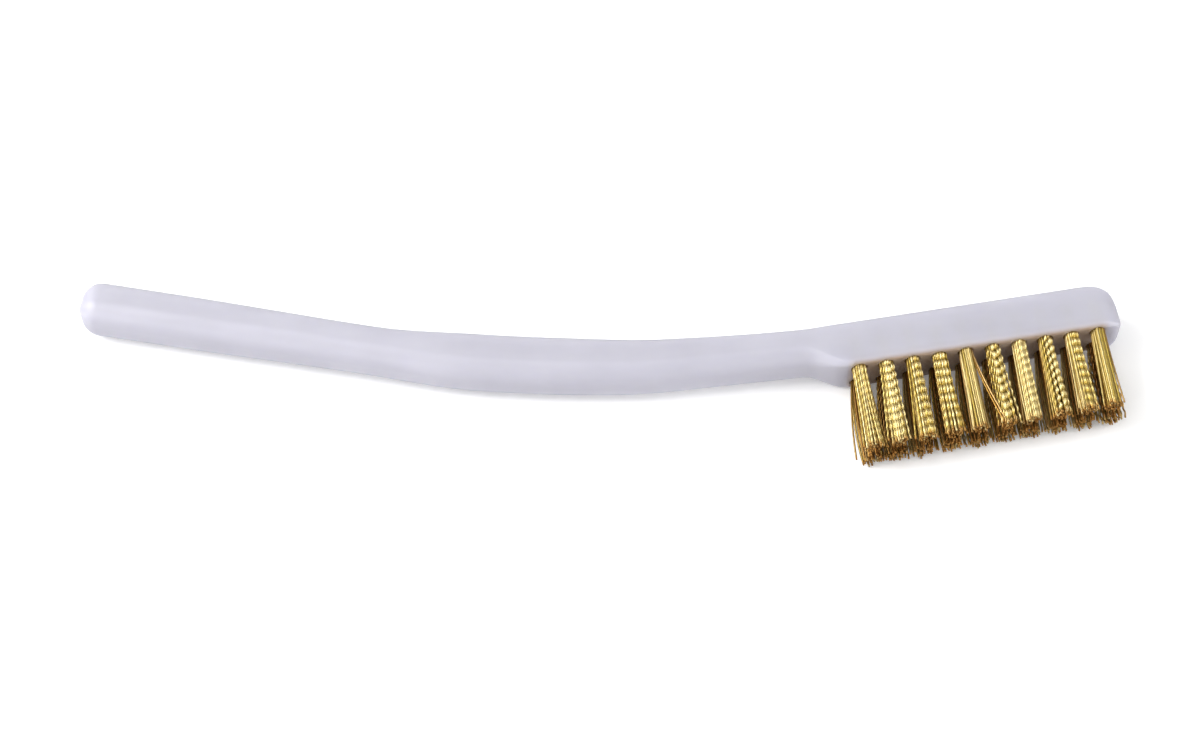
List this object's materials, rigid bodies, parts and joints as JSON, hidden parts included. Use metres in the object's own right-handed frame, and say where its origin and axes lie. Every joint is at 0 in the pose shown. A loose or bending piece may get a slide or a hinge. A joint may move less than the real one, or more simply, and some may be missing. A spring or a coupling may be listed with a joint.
{
  "type": "club groove brush",
  "caption": "Toothbrush-shaped brush for cleaning club grooves: rows of crimped brass wire tufts anchored in blind holes of a milky white moulded handle.",
  "frame": {"origin": "centre of the brush's footprint, on the surface that it lies on with one flat side down", "axes": "+X along the brush from the handle's end to the head's tip, wires to -Y, +Z across the width"},
  "size_m": [0.174, 0.0318, 0.0084],
  "materials": {
    "handle_plastic": "milky white, slightly see-through polypropylene moulding with a soft satin surface",
    "wire_brass": "bright crimped brass wire, darker between the wires",
    "anchor_steel": "flat rolled steel strip, cut square"
  },
  "bodies": {
    "root": {"anchor_left_01": "anchor_steel", "anchor_left_02": "anchor_steel", "anchor_left_03": "anchor_steel", "anchor_left_04": "anchor_steel", "anchor_left_05": "anchor_steel", "anchor_left_06": "anchor_steel", "anchor_left_07": "anchor_steel", "anchor_left_08": "anchor_steel", "anchor_left_09": "anchor_steel", "anchor_left_10": "anchor_steel", "anchor_right_01": "anchor_steel", "anchor_right_02": "anchor_steel", "anchor_right_03": "anchor_steel", "anchor_right_04": "anchor_steel", "anchor_right_05": "anchor_steel", "anchor_right_06": "anchor_steel", "anchor_right_07": "anchor_steel", "anchor_right_08": "anchor_steel", "anchor_right_09": "anchor_steel", "anchor_right_10": "anchor_steel", "handle": "handle_plastic", "wire_tuft_left_01": "wire_brass", "wire_tuft_left_02": "wire_brass", "wire_tuft_left_03": "wire_brass", "wire_tuft_left_04": "wire_brass", "wire_tuft_left_05": "wire_brass", "wire_tuft_left_06": "wire_brass", "wire_tuft_left_07": "wire_brass", "wire_tuft_left_08": "wire_brass", "wire_tuft_left_09": "wire_brass", "wire_tuft_left_10": "wire_brass", "wire_tuft_right_01": "wire_brass", "wire_tuft_right_02": "wire_brass", "wire_tuft_right_03": "wire_brass", "wire_tuft_right_04": "wire_brass", "wire_tuft_right_05": "wire_brass", "wire_tuft_right_06": "wire_brass", "wire_tuft_right_07": "wire_brass", "wire_tuft_right_08": "wire_brass", "wire_tuft_right_09": "wire_brass", "wire_tuft_right_10": "wire_brass"}
  },
  "joints": []
}
